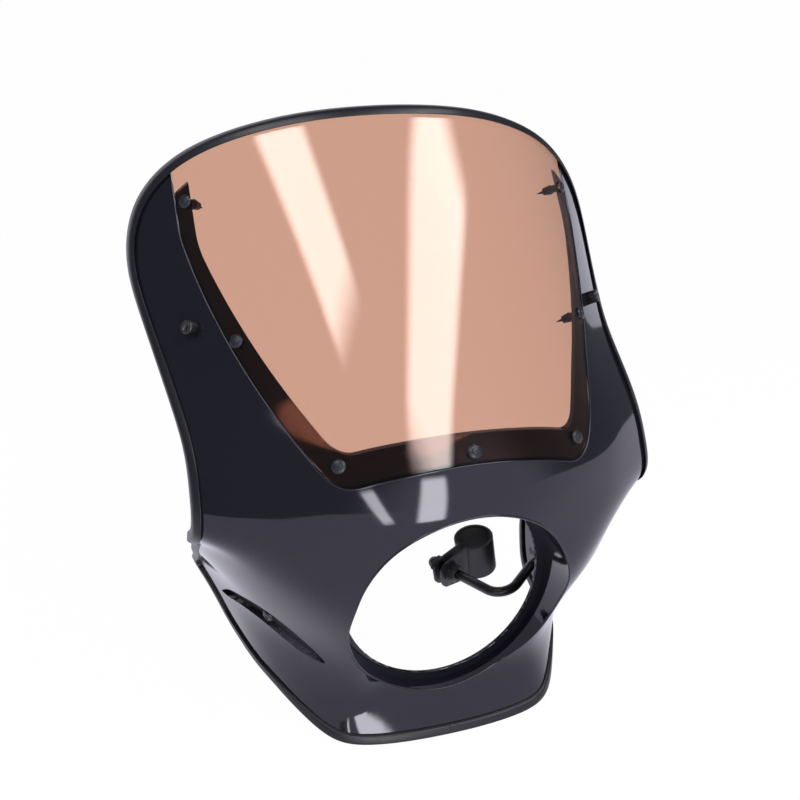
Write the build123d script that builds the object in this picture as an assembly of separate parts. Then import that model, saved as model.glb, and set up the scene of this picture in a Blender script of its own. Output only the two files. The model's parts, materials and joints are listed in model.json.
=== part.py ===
from build123d import *
import os

# Headlight cowl for a motorbike with a round headlight. Millimetres, +Z up, the front is -Y.
# The origin is the centre of the headlight opening, in the plane of the lip's rear face.

# Moulded shell
WALL = 3.0
SKIN_REACH = 204.0          # half-width of the visor skin before it is trimmed
BROW_REACH = 196.0          # the same at the brow
ROW_SHARES = (0.26, 0.52, 0.735, 0.87, 1.0)
SKIN_TOP = 345.0            # top of the skin before it is trimmed
SCREEN_RAKE = 0.764         # how far the screen leans back for each unit of height
SCREEN_CURL = 0.0039        # sideways bend of the screen: y = curl * x * x
SCREEN_FOOT_Y = -46.0       # the screen's lower edge at the middle
SCREEN_FOOT_Z = 115.0

# Headlight tunnel
OPENING_RADIUS = 76.0
TUNNEL_RADIUS = 82.0
TUNNEL_REACH = 90.0         # length of the tunnel's ring before the skin cuts it
LIP_THICKNESS = 3.0

# Windscreen and its recess, seen from the front
SCREEN_THICKNESS = 2.5
SCREEN_SINK = 0.2           # how far the sheet's face lies under the skin
SCREEN_BED = 0.1            # gap under the sheet
SCREEN_GAP = 0.5            # gap round the sheet's edge
FLANGE_THICKNESS = 3.0
FLANGE_LAP = 3.0            # how far the flange runs under the wall round the recess
FLANGE_INSET = 14.0         # the flange's ends stop this far from the shell's edge
# recess and opening: middle of the foot, the corner, a point on the side, the bend into the upright top
RECESS = [(0.0, 116.0), (88.0, 99.0), (132.3, 160.5), (157.0, 232.0)]
RECESS_CORNER_RADIUS = 20.0
OPENING = [(0.0, 131.0), (84.0, 117.5), (120.6, 168.3), (146.0, 226.0)]
OPENING_CORNER_RADIUS = 16.0
WINDOW_BEND_RADIUS = 50.0

# Outline of the shell: the visor seen from the front, the cheeks and chin seen from the side
ARCH = [(0, 321), (97, 306.5), (147, 282), (178, 247), (188.5, 200), (183, 164), (175.5, 125)]
ARM_FOOT = (174.5, 20.0)
NOTCH = (21.0, 52.0)
EAR = (161.0, -45.0)
WING = (116.0, -77.0)
WING_FOOT = (38.0, -84.5)
CHIN_CORNER = (-12.0, -102.0)
CHIN_FRONT = (-60.0, -120.0)
NOTCH_RADIUS = 4.0
EAR_RADIUS = 8.0
WING_RADIUS = 60.0
FOOT_RADIUS = 90.0
CHIN_RADIUS = 40.0
OUTLINE_REACH = 400.0
ARCH_STEPS = 24             # points along the arch and arm when the outline is moved

# Rubber edge trim
TRIM_WEB = 2.2              # rubber outside the edge
TRIM_LEG = 4.5              # rubber over each face
TRIM_SKIN = 2.0             # thickness of each leg
TRIM_GAP = 0.1
TRIM_JOINT = 0.4            # slit of the butt joint under the chin

# Grooves under the cheeks, seen from the side
GROOVE_DEPTH = 5.0
GROOVE = [
    (109.0, -47.0), (84.0, -31.5), (54.0, -19.5), (28.0, -14.5), (8.0, -24.0),
    (-5.0, -49.0), (13.0, -43.5), (39.0, -33.5), (69.0, -36.5), (96.0, -45.0),
]
GROOVE_STEPS = 30           # points round the pocket when its outline is moved
GROOVE_INNER = 78.0         # the grooves lie outside this half-width

# Fasteners: x and z of the rivets and side screws, y and z of the groove bolts
FIT = 0.1                   # clearance round shanks and in nuts
SEAT_GAP = 0.15             # gap under heads on curved faces
NUT_CHAMFER = 0.4
RIVET_SPOTS = [(0, 123.0), (87, 115.0), (133.3, 173.6), (150.5, 254.0)]
RIVET_HEAD_RADIUS = 5.0
RIVET_HEAD_HEIGHT = 2.0
RIVET_EASE = 1.2            # rounding of the head's edge
RIVET_CROWN = 0.4           # rise of the head's top
RIVET_SHANK_RADIUS = 3.0
RIVET_BARB = 0.9            # how far the barb spreads past the shank
RIVET_GRIP = 1.5            # length of the barb's catch
RIVET_TAPER = 6.0           # length of the split legs behind the catch
RIVET_PIN_RADIUS = 1.5
RIVET_PIN_DISC = 2.6        # radius of the disc on the pin
RIVET_DISC_HEIGHT = 0.8
RIVET_DISC_EASE = 0.4
RIVET_DISC_CROWN = 0.2
RIVET_PIN_POINT = 7.0       # length of the pin's point
SIDE_SCREW_SPOT = (157.0, 175.0)
SIDE_SCREW_HEAD_RADIUS = 5.0
SIDE_SCREW_HEAD_HEIGHT = 8.0
SIDE_SCREW_EASE = 0.6       # chamfer round the head's top
SIDE_SCREW_RADIUS = 2.5
SIDE_SCREW_SOCKET = 4.0     # across the flats
SIDE_SCREW_SOCKET_DEPTH = 4.0
SIDE_SCREW_TAIL = 2.0       # thread past the nut
SIDE_WASHER_RADIUS = 6.0
SIDE_WASHER_THICKNESS = 1.0
SIDE_NUT_FLATS = 8.0
SIDE_NUT_HEIGHT = 4.0
GROOVE_BOLT_SPOT = (30.0, -26.0)
GROOVE_BOLT_RADIUS = 3.0
GROOVE_HEAD_RADIUS = 5.0
GROOVE_HEAD_HEIGHT = 3.3
GROOVE_HEAD_EASE = 1.5      # chamfer round the head's top
GROOVE_SOCKET = 4.0         # across the flats
GROOVE_SOCKET_DEPTH = 1.6
GROOVE_WASHER_RADIUS = 6.0
GROOVE_WASHER_THICKNESS = 1.2
GROOVE_RUBBER_RADIUS = 8.0
GROOVE_RUBBER_THICKNESS = 3.0
GROOVE_NUT_FLATS = 10.0
GROOVE_NUT_HEIGHT = 6.0
GROOVE_BOLT_TAIL = 1.5

# Fork clamps and bracket rods, right-hand side
CLAMP_CENTRE = (77.5, 106.2, -46.6)
CLAMP_AXIS = (-0.2183, -0.1046, 0.9703)
CLAMP_EARS = (-0.8755, -0.4197, -0.2419)
CLAMP_BORE = 14.5
CLAMP_SHEET = 2.0
CLAMP_HEIGHT = 32.0
CLAMP_SLIT = 6.0            # gap between the two ears
EAR_REACH = 36.0            # from the clamp's axis to the rod's thread
EAR_RISE = 7.0              # the thread above the band's mid-height
EAR_HALF_HEIGHT = 11.0
EAR_ROUND = 7.5
LINER_THICKNESS = 1.0
LINER_HEIGHT = 30.0
ROD_RADIUS = 4.0
ROD_BEND = 16.0             # radius of the first bend at the rod's centre line
ROD_HOOK = 13.0             # radius of the second bend
ROD_STRAIGHT = 63.0         # from the ears to the first bend
EYE_RADIUS = 8.0
EYE_THICKNESS = 4.0
EYE_RUN = 42.0              # straight run beside the shell
CLAMP_NUT_FLATS = 13.0
CLAMP_NUT_HEIGHT = 6.5
CLAMP_WASHER_RADIUS = 8.0
CLAMP_WASHER_THICKNESS = 1.6
DOME_HEIGHT = 7.0           # the dome past its nut's hexagon
DOME_RADIUS = 5.6
THREAD_IN_DOME = 9.0

# Depths under the skin
SCREEN_BACK = SCREEN_SINK + SCREEN_THICKNESS
RECESS_FLOOR = SCREEN_BACK + SCREEN_BED
FLANGE_BACK = RECESS_FLOOR + FLANGE_THICKNESS
GROOVE_BACK = GROOVE_DEPTH + WALL
TUNNEL_OUTER = TUNNEL_RADIUS + WALL


def visor_row(height, front, curl, reach=SKIN_REACH):
    # one level of the skin above the brow, a parabola
    stations = [reach * share for share in ROW_SHARES]
    return (height, front, *[(x, front + curl * x * x) for x in stations])


def screen_row(height):
    return visor_row(height, SCREEN_FOOT_Y + SCREEN_RAKE * (height - SCREEN_FOOT_Z), SCREEN_CURL)


# Levels of the skin from the top down: height, front y, then five points (x, y) out to the rear.
# Inside the headlight opening they are only a smooth bridge, which is cut away.
SKIN_LEVELS = [
    screen_row(SKIN_TOP),
    screen_row(240),
    screen_row(150),
    visor_row(111, -49, 0.0031),
    visor_row(88, -56, 0.0027),
    visor_row(72, -58, 0.0025, BROW_REACH),
    (58, -58.5, (54, -51), (106, -33), (150, -3), (170, 14), (188, 33)),
    (45, -58, (54, -51), (104, -35), (146, -1), (161, 17), (181, 41)),
    (25, -56, (53, -50), (96, -38), (137, 3), (155, 36), (174, 75)),
    (-10, -46, (52, -42), (88, -28), (129, 24), (146, 69), (164, 128)),
    (-45, -26, (50, -25), (80, -16), (122, 41), (139, 102), (156, 175)),
    (-74, -15, (52, -14.5), (81, -9.5), (119, 41), (132, 100), (147, 174)),
    (-104, -27, (60, -24), (91, -11), (118, 42), (129, 100), (141, 173)),
    (-130, -34, (63, -30), (96, -12), (118, 42), (127, 100), (137, 173)),
]


def mean_shares(curves):
    # where each point lies along its curve, from 0 to 1, averaged over all the curves
    total = [0.0] * len(curves[0])
    for points in curves:
        run = [0.0]
        for start, end in zip(points, points[1:]):
            run.append(run[-1] + (end - start).length)
        total = [value + length / run[-1] / len(curves) for value, length in zip(total, run)]
    return total


def make_skin():
    # one smooth surface through the levels, held by a rail along each end
    grid = []
    for height, front, *half in SKIN_LEVELS:
        left = [Vector(-x, y, height) for x, y in reversed(half)]
        right = [Vector(x, y, height) for x, y in half]
        grid.append(left + [Vector(0, front, height)] + right)
    rails = [list(rail) for rail in zip(*grid)]
    across = mean_shares(grid)
    along = mean_shares(rails)
    level_curves = [Edge.make_spline(level, parameters=across) for level in grid]
    end_rails = [Edge.make_spline(rail, parameters=along) for rail in (rails[0], rails[-1])]
    return Face.make_gordon_surface(level_curves, end_rails)


SKIN = make_skin()


def offset_skin(depth):
    # the skin moved inwards by a depth
    if depth == 0:
        return SKIN
    broad = Solid.thicken(SKIN, depth).faces().sort_by(SortBy.AREA)[-2:]
    face = max(broad, key=lambda face: (face.center() - SKIN.center()).length)
    return face if face.normal_at().dot(SKIN.normal_at()) > 0 else -face


def skin_layer(near, far):
    # the solid between two depths under the skin
    return Solid.thicken(offset_skin(near), far - near)


def prism(sketch):
    return extrude(sketch, amount=OUTLINE_REACH, both=True)


def visor_outline(grow=0.0):
    # what is kept, seen from the front: the arch and the arms, free below the arms' feet
    spots = [Vector(*spot) for spot in (*ARCH, ARM_FOOT)]
    edge = Edge.make_spline(spots, tangents=[(1, 0), (0, -1)])
    steps = [step / ARCH_STEPS for step in range(ARCH_STEPS + 1)]
    moved = [edge @ step + (edge % step).rotate(Axis.Z, 90) * grow for step in steps]
    with BuildSketch(Plane.XZ) as sketch:
        with BuildLine():
            side = Spline(*moved, tangents=((1, 0), (0, -1)))
            foot = (OUTLINE_REACH, ARM_FOOT[1])
            Polyline(side @ 1, foot, (OUTLINE_REACH, -OUTLINE_REACH), (0, -OUTLINE_REACH), side @ 0)
        make_face()
        mirror(about=Plane.YZ)
    return prism(sketch.sketch)


def cheek_outline(grow=0.0):
    # what is kept, seen from the side: free above the notch, then the ear, the wing and the chin
    corners = [
        (-OUTLINE_REACH, OUTLINE_REACH),
        (OUTLINE_REACH, OUTLINE_REACH),
        (OUTLINE_REACH, NOTCH[1]),
        NOTCH,
        EAR,
        WING,
        WING_FOOT,
        CHIN_CORNER,
        CHIN_FRONT,
        (-OUTLINE_REACH, CHIN_FRONT[1]),
    ]
    rounds = [0, 0, 0, NOTCH_RADIUS, EAR_RADIUS, WING_RADIUS, FOOT_RADIUS, CHIN_RADIUS, 0, 0]
    with BuildSketch(Plane.YZ) as sketch:
        with BuildLine():
            FilletPolyline(*corners, radius=rounds, close=True)
        make_face()
        if grow:
            offset(amount=grow, kind=Kind.INTERSECTION)
    return prism(sketch.sketch)


def window_outline(points, corner_radius, grow=0.0):
    # an outline in the visor seen from the front, open at the top past the shell's edge
    foot, corner, side_point, bend = points
    with BuildSketch(Plane.XZ) as sketch:
        with BuildLine():
            side = ThreePointArc(corner, side_point, bend)
            Polyline(side @ 1, (bend[0], OUTLINE_REACH), (0, OUTLINE_REACH))
            mirror(about=Plane.YZ)
            ThreePointArc((-corner[0], corner[1]), foot, corner)
        make_face()
        for (x, z), radius in ((corner, corner_radius), (bend, WINDOW_BEND_RADIUS)):
            for spot in (Vector(x, z), Vector(-x, z)):
                fillet(sketch.vertices().sort_by_distance(spot)[0], radius)
        if grow:
            offset(amount=grow, kind=Kind.INTERSECTION)
    return prism(sketch.sketch)


def recess_outline(grow=0.0):
    return window_outline(RECESS, RECESS_CORNER_RADIUS, grow)


def groove_outline(grow=0.0):
    # the pocket under each cheek seen from the side, kept clear of the tunnel
    edge = Edge.make_spline([Vector(*spot) for spot in GROOVE], periodic=True)
    steps = [step / GROOVE_STEPS for step in range(GROOVE_STEPS)]
    moved = [edge @ step + (edge % step).rotate(Axis.Z, -90) * grow for step in steps]
    with BuildSketch(Plane.YZ) as sketch:
        with BuildLine():
            Spline(*moved, periodic=True)
        make_face()
    right = extrude(Pos(X=GROOVE_INNER) * sketch.sketch, amount=OUTLINE_REACH, dir=(1, 0, 0))
    return right + mirror(right, about=Plane.YZ)


def seat(start, along):
    # a plane on the skin where a line from outside first meets it, facing outwards
    line = Axis(start, along)
    hits = SKIN.find_intersection_points(line)
    point, normal = min(hits, key=lambda hit: (hit[0] - line.position).length)
    if normal.dot(line.direction) > 0:
        normal = normal * -1
    return Plane(point, x_dir=Vector(0, 0, 1).cross(normal), z_dir=normal)


def both_sides(spots):
    # the spots with their mirror images, the middle ones once
    mirrored = [(-x, z) for x, z in spots if x]
    return list(spots) + mirrored


RIVET_SEATS = [seat((x, -OUTLINE_REACH, z), (0, 1, 0)) for x, z in both_sides(RIVET_SPOTS)]
SIDE_SCREW_SEATS = [
    seat((x, -OUTLINE_REACH, z), (0, 1, 0)) for x, z in both_sides([SIDE_SCREW_SPOT])
]
GROOVE_SEATS = [seat((side * OUTLINE_REACH, *GROOVE_BOLT_SPOT), (-side, 0, 0)) for side in (1, -1)]


def turned(profile):
    # a solid of revolution from (radius, height) points
    with BuildPart() as part:
        with BuildSketch(Plane.XZ):
            with BuildLine():
                Polyline(*profile, close=True)
            make_face()
        revolve(axis=Axis.Z)
    return part.part


def nut(flats, height, bore):
    with BuildPart() as part:
        with BuildSketch():
            RegularPolygon(flats / 2, 6, major_radius=False)
            Circle(bore, mode=Mode.SUBTRACT)
        extrude(amount=height)
        chamfer(part.faces().sort_by(Axis.Z)[-1].outer_wire().edges(), NUT_CHAMFER)
    return part.part


def washer(radius, bore, thickness):
    return turned([(bore, 0), (radius, 0), (radius, thickness), (bore, thickness)])


def along(seats, height, solid):
    # copies of a solid that stands on +Z, one on each seat, lifted along its normal
    return [plane.location * Pos(Z=height) * solid for plane in seats]


def holes(seats, radius):
    pin = Cylinder(radius, 4 * GROOVE_BACK)
    return along(seats, 0, pin)


def make_tunnel():
    # the ring behind the skin and its in-turned lip
    ring = Rot(X=90) * (Cylinder(TUNNEL_OUTER, TUNNEL_REACH) - Cylinder(TUNNEL_RADIUS, TUNNEL_REACH))
    ring = Pos(Y=-TUNNEL_REACH / 2) * ring
    behind = split(ring, bisect_by=SKIN, keep=Keep.BOTH).solids().sort_by(Axis.Y)[-1]
    lip = Cylinder(TUNNEL_OUTER, LIP_THICKNESS) - Cylinder(OPENING_RADIUS, LIP_THICKNESS)
    return behind + Pos(Y=-LIP_THICKNESS / 2) * Rot(X=90) * lip


def make_shell():
    body = skin_layer(0, WALL) & visor_outline() & cheek_outline()
    body -= Rot(X=90) * Cylinder(TUNNEL_RADIUS, 2 * OUTLINE_REACH)
    body += make_tunnel()
    body -= recess_outline()
    flange = skin_layer(RECESS_FLOOR, FLANGE_BACK) & recess_outline(FLANGE_LAP)
    flange &= visor_outline(-FLANGE_INSET)
    flange -= window_outline(OPENING, OPENING_CORNER_RADIUS)
    body += flange
    body += skin_layer(WALL / 2, GROOVE_BACK) & groove_outline(WALL)
    body -= skin_layer(-WALL, GROOVE_DEPTH) & groove_outline()
    body -= holes(RIVET_SEATS, RIVET_SHANK_RADIUS + FIT)
    body -= holes(SIDE_SCREW_SEATS, SIDE_SCREW_RADIUS + FIT)
    body -= holes(GROOVE_SEATS, GROOVE_BOLT_RADIUS + FIT)
    return body


def make_windscreen():
    sheet = skin_layer(SCREEN_SINK, SCREEN_BACK) & recess_outline(-SCREEN_GAP) & visor_outline()
    return sheet - holes(RIVET_SEATS, RIVET_SHANK_RADIUS + 2 * FIT)


def make_trim():
    # a rubber channel over the edge, slit at the butt joint under the chin
    rubber = skin_layer(-TRIM_SKIN, WALL + TRIM_SKIN)
    rubber = rubber & visor_outline(TRIM_WEB) & cheek_outline(TRIM_WEB)
    rubber -= visor_outline(-TRIM_LEG) & cheek_outline(-TRIM_LEG)
    sheet = skin_layer(-TRIM_GAP, WALL + TRIM_GAP)
    rubber -= sheet & visor_outline(TRIM_GAP) & cheek_outline(TRIM_GAP)
    slit = Box(TRIM_JOINT, OUTLINE_REACH, OUTLINE_REACH, align=(Align.CENTER, Align.CENTER, Align.MAX))
    return rubber - slit


def make_rivet_bodies():
    catch = SCREEN_SINK - FLANGE_BACK - SEAT_GAP
    foot = SCREEN_SINK
    top = foot + RIVET_HEAD_HEIGHT
    tip = catch - RIVET_GRIP - RIVET_TAPER
    bore = RIVET_PIN_RADIUS + FIT
    body = turned([
        (bore, tip),
        (RIVET_SHANK_RADIUS - FIT, tip),
        (RIVET_SHANK_RADIUS + RIVET_BARB, catch - RIVET_GRIP),
        (RIVET_SHANK_RADIUS, catch),
        (RIVET_SHANK_RADIUS, foot),
        (RIVET_HEAD_RADIUS, foot),
        (RIVET_HEAD_RADIUS, top - RIVET_EASE),
        (RIVET_HEAD_RADIUS - RIVET_EASE, top - RIVET_CROWN),
        (RIVET_PIN_DISC, top),
        (bore, top),
    ])
    return along(RIVET_SEATS, SEAT_GAP - 2 * SCREEN_SINK, body)


def make_rivet_pins():
    top = RIVET_HEAD_HEIGHT + SCREEN_SINK + FIT
    end = SCREEN_SINK - FLANGE_BACK - RIVET_GRIP - RIVET_TAPER
    pin = turned([
        (0, end - RIVET_PIN_POINT),
        (RIVET_PIN_RADIUS, end),
        (RIVET_PIN_RADIUS, top),
        (RIVET_PIN_DISC, top),
        (RIVET_PIN_DISC - RIVET_DISC_EASE, top + RIVET_DISC_HEIGHT),
        (0, top + RIVET_DISC_HEIGHT + RIVET_DISC_CROWN),
    ])
    return along(RIVET_SEATS, SEAT_GAP - 2 * SCREEN_SINK, pin)


def socket(flats, depth):
    with BuildPart() as part:
        with BuildSketch():
            RegularPolygon(flats / 2, 6, major_radius=False)
        extrude(amount=depth)
    return part.part


def make_side_screws():
    length = WALL + SIDE_WASHER_THICKNESS + SIDE_NUT_HEIGHT + SIDE_SCREW_TAIL + 3 * SEAT_GAP
    screw = turned([
        (0, -length),
        (SIDE_SCREW_RADIUS, -length),
        (SIDE_SCREW_RADIUS, 0),
        (SIDE_SCREW_HEAD_RADIUS, 0),
        (SIDE_SCREW_HEAD_RADIUS, SIDE_SCREW_HEAD_HEIGHT - SIDE_SCREW_EASE),
        (SIDE_SCREW_HEAD_RADIUS - SIDE_SCREW_EASE, SIDE_SCREW_HEAD_HEIGHT),
        (0, SIDE_SCREW_HEAD_HEIGHT),
    ])
    floor = SIDE_SCREW_HEAD_HEIGHT - SIDE_SCREW_SOCKET_DEPTH
    screw -= Pos(Z=floor) * socket(SIDE_SCREW_SOCKET, SIDE_SCREW_SOCKET_DEPTH)
    return along(SIDE_SCREW_SEATS, SEAT_GAP, screw)


def make_side_washers():
    disc = washer(SIDE_WASHER_RADIUS, SIDE_SCREW_RADIUS + FIT, SIDE_WASHER_THICKNESS)
    return along(SIDE_SCREW_SEATS, -WALL - SEAT_GAP - SIDE_WASHER_THICKNESS, disc)


def make_side_nuts():
    seat_depth = WALL + SEAT_GAP + SIDE_WASHER_THICKNESS
    body = nut(SIDE_NUT_FLATS, SIDE_NUT_HEIGHT, SIDE_SCREW_RADIUS + FIT)
    return along(SIDE_SCREW_SEATS, -seat_depth, Rot(X=180) * body)


# Depths along the groove bolts
WASHER_TOP = GROOVE_DEPTH - SEAT_GAP - GROOVE_WASHER_THICKNESS
RUBBER_TOP = GROOVE_BACK + SEAT_GAP
EYE_TOP = RUBBER_TOP + GROOVE_RUBBER_THICKNESS
GROOVE_NUT_TOP = EYE_TOP + EYE_THICKNESS
GROOVE_BOLT_END = GROOVE_NUT_TOP + GROOVE_NUT_HEIGHT + GROOVE_BOLT_TAIL


def make_groove_bolts():
    crown = GROOVE_HEAD_HEIGHT - WASHER_TOP
    bolt = turned([
        (0, -GROOVE_BOLT_END),
        (GROOVE_BOLT_RADIUS, -GROOVE_BOLT_END),
        (GROOVE_BOLT_RADIUS, -WASHER_TOP),
        (GROOVE_HEAD_RADIUS, -WASHER_TOP),
        (GROOVE_HEAD_RADIUS, crown - GROOVE_HEAD_EASE),
        (GROOVE_HEAD_RADIUS - GROOVE_HEAD_EASE, crown),
        (0, crown),
    ])
    bolt -= Pos(Z=crown - GROOVE_SOCKET_DEPTH) * socket(GROOVE_SOCKET, GROOVE_SOCKET_DEPTH)
    return along(GROOVE_SEATS, 0, bolt)


def make_groove_washers():
    disc = washer(GROOVE_WASHER_RADIUS, GROOVE_BOLT_RADIUS + FIT, GROOVE_WASHER_THICKNESS)
    return along(GROOVE_SEATS, -WASHER_TOP - GROOVE_WASHER_THICKNESS, disc)


def make_groove_rubbers():
    disc = washer(GROOVE_RUBBER_RADIUS, GROOVE_BOLT_RADIUS + FIT, GROOVE_RUBBER_THICKNESS)
    return along(GROOVE_SEATS, -EYE_TOP, disc)


def make_groove_nuts():
    body = nut(GROOVE_NUT_FLATS, GROOVE_NUT_HEIGHT, GROOVE_BOLT_RADIUS + FIT)
    return along(GROOVE_SEATS, -GROOVE_NUT_TOP, Rot(X=180) * body)


# The clamp's own frame: x along the ears, y along the rod's thread, z along the fork leg
CLAMP = Plane(CLAMP_CENTRE, x_dir=CLAMP_EARS, z_dir=CLAMP_AXIS).location
EAR_FACE = CLAMP_SLIT / 2 + CLAMP_SHEET


def make_clamp():
    # a band of sheet bent round the fork leg, with two ears
    with BuildPart() as part:
        with BuildSketch():
            Circle(CLAMP_BORE + CLAMP_SHEET)
            Circle(CLAMP_BORE, mode=Mode.SUBTRACT)
            with Locations((CLAMP_BORE, 0)):
                Rectangle(CLAMP_BORE, CLAMP_SLIT, mode=Mode.SUBTRACT)
        extrude(amount=CLAMP_HEIGHT / 2, both=True)
        with BuildSketch(Plane.XZ) as ear:
            with BuildLine():
                FilletPolyline(
                    (CLAMP_BORE, -CLAMP_HEIGHT / 2),
                    (EAR_REACH + EAR_HALF_HEIGHT, EAR_RISE - EAR_HALF_HEIGHT),
                    (EAR_REACH + EAR_HALF_HEIGHT, EAR_RISE + EAR_HALF_HEIGHT),
                    (CLAMP_BORE, CLAMP_HEIGHT / 2),
                    radius=EAR_ROUND,
                )
                Line((CLAMP_BORE, CLAMP_HEIGHT / 2), (CLAMP_BORE, -CLAMP_HEIGHT / 2))
            make_face()
            with Locations((EAR_REACH, EAR_RISE)):
                Circle(ROD_RADIUS + FIT, mode=Mode.SUBTRACT)
    ears = extrude(ear.sketch, amount=EAR_FACE, both=True)
    ears -= Box(4 * EAR_REACH, CLAMP_SLIT, 2 * CLAMP_HEIGHT)
    ears -= Cylinder(CLAMP_BORE, 2 * CLAMP_HEIGHT)
    return CLAMP * (part.part + ears)


def make_liner():
    outer = CLAMP_BORE - FIT
    with BuildPart() as part:
        with BuildSketch():
            Circle(outer)
            Circle(outer - LINER_THICKNESS, mode=Mode.SUBTRACT)
            with Locations((CLAMP_BORE, 0)):
                Rectangle(CLAMP_BORE, CLAMP_SLIT, mode=Mode.SUBTRACT)
        extrude(amount=LINER_HEIGHT / 2, both=True)
    return CLAMP * part.part


def make_rod():
    # thread, straight run, two bends and a flat eye on the groove bolt
    frame = GROOVE_SEATS[0]
    eye = frame.from_local_coords((0, 0, -EYE_TOP - EYE_THICKNESS / 2))
    start = (CLAMP * Pos(EAR_REACH, -EAR_FACE - THREAD_IN_DOME, EAR_RISE)).position
    first = (CLAMP * Pos(EAR_REACH, ROD_STRAIGHT, EAR_RISE)).position
    back = Vector(0, 1, 0) - frame.z_dir * frame.z_dir.Y
    second = eye + back.normalized() * EYE_RUN
    path = FilletPolyline(start, first, second, eye, radius=(ROD_BEND, ROD_HOOK))
    section = Plane(start, z_dir=first - start) * Circle(ROD_RADIUS)
    rod = sweep(section, path=path)
    disc = frame.location * Pos(Z=-EYE_TOP - EYE_THICKNESS / 2)
    pad = disc * Cylinder(EYE_RADIUS, EYE_THICKNESS)
    clear = disc * Cylinder(EYE_RADIUS, 4 * ROD_RADIUS) - pad
    return rod - clear + pad - disc * Cylinder(GROOVE_BOLT_RADIUS + FIT, 4 * ROD_RADIUS)


def on_thread(offset, solid):
    # a solid that stands on +Z, turned to stand along the rod's thread
    return CLAMP * Pos(EAR_REACH, offset, EAR_RISE) * Rot(X=-90) * solid


def make_clamp_washer():
    return on_thread(EAR_FACE, washer(CLAMP_WASHER_RADIUS, ROD_RADIUS + FIT, CLAMP_WASHER_THICKNESS))


def make_clamp_nut():
    body = nut(CLAMP_NUT_FLATS, CLAMP_NUT_HEIGHT, ROD_RADIUS + FIT)
    return on_thread(EAR_FACE + CLAMP_WASHER_THICKNESS, body)


def make_dome_nut():
    base = nut(CLAMP_NUT_FLATS, CLAMP_NUT_HEIGHT, ROD_RADIUS + FIT)
    dome = scale(Sphere(DOME_RADIUS), by=(1, 1, DOME_HEIGHT / DOME_RADIUS))
    dome &= Pos(Z=DOME_HEIGHT) * Box(4 * DOME_RADIUS, 4 * DOME_RADIUS, 2 * DOME_HEIGHT)
    dome = Pos(Z=CLAMP_NUT_HEIGHT) * dome
    dome -= Cylinder(ROD_RADIUS + FIT, 2 * (THREAD_IN_DOME + FIT))
    body = base + dome
    return on_thread(-EAR_FACE, Rot(X=180) * body)


def pair(solid):
    return [solid, mirror(solid, about=Plane.YZ)]


def save(name, solids):
    shapes = solids if isinstance(solids, list) else [solids]
    found = [solid for shape in shapes for solid in shape.solids()]
    export_step(found[0] if len(found) == 1 else Compound(children=found), f"parts/{name}.step")


os.makedirs("parts", exist_ok=True)
save("cowl_shell", make_shell())
save("windscreen", make_windscreen())
save("edge_trim", make_trim())
save("screen_rivet_bodies", make_rivet_bodies())
save("screen_rivet_pins", make_rivet_pins())
save("side_screws", make_side_screws())
save("side_screw_washers", make_side_washers())
save("side_screw_nuts", make_side_nuts())
save("groove_bolts", make_groove_bolts())
save("groove_bolt_washers", make_groove_washers())
save("groove_bolt_rubbers", make_groove_rubbers())
save("groove_bolt_nuts", make_groove_nuts())
brackets = {"fork_clamp": make_clamp(), "clamp_liner": make_liner(), "bracket_rod": make_rod()}
for name, solid in brackets.items():
    for side, copy in zip(("right", "left"), pair(solid)):
        save(f"{name}_{side}", copy)
save("clamp_washers", pair(make_clamp_washer()))
save("clamp_hex_nuts", pair(make_clamp_nut()))
save("clamp_dome_nuts", pair(make_dome_nut()))
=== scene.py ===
# %% [markdown]
# A headlight cowl in a white studio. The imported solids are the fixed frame: every piece below sits
# where its solid sits, and only the surfaces, edges and finishes are made here. Sizes are in metres.

# %% Load the frame
import json
import math

import bmesh
import bpy
import numpy as np
from mathutils import Matrix, Vector, kdtree


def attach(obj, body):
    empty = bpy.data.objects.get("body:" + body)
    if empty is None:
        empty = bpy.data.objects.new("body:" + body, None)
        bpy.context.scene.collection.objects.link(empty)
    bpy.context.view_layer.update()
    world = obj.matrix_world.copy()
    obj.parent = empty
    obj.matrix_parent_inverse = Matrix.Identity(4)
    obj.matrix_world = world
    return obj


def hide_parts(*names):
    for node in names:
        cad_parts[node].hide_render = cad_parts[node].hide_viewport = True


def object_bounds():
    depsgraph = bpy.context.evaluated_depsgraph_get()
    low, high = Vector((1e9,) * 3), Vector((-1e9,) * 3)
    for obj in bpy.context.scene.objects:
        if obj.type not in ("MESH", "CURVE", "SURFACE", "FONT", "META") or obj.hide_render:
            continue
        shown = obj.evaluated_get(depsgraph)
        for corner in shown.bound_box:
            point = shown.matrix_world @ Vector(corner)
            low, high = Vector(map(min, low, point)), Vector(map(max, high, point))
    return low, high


MM = 0.001
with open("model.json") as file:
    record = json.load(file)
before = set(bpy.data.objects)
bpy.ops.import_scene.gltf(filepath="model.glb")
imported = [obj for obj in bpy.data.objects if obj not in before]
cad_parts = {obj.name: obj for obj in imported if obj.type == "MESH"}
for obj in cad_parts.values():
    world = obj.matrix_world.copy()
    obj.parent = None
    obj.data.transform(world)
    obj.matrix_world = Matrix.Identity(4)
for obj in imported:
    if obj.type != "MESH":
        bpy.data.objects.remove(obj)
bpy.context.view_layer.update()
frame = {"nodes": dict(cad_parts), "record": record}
scene = bpy.context.scene
scene.view_settings.view_transform = "Standard"
print("nodes in the frame:", len(frame["nodes"]))

# %% [markdown]
# A finish is a small shader tree. Writing it with plain operators keeps it readable: one class wraps a
# socket, so that a sum or a product of two values adds its own Math node, and one method adds any other
# node.

# %% A small language for finishes


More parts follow.
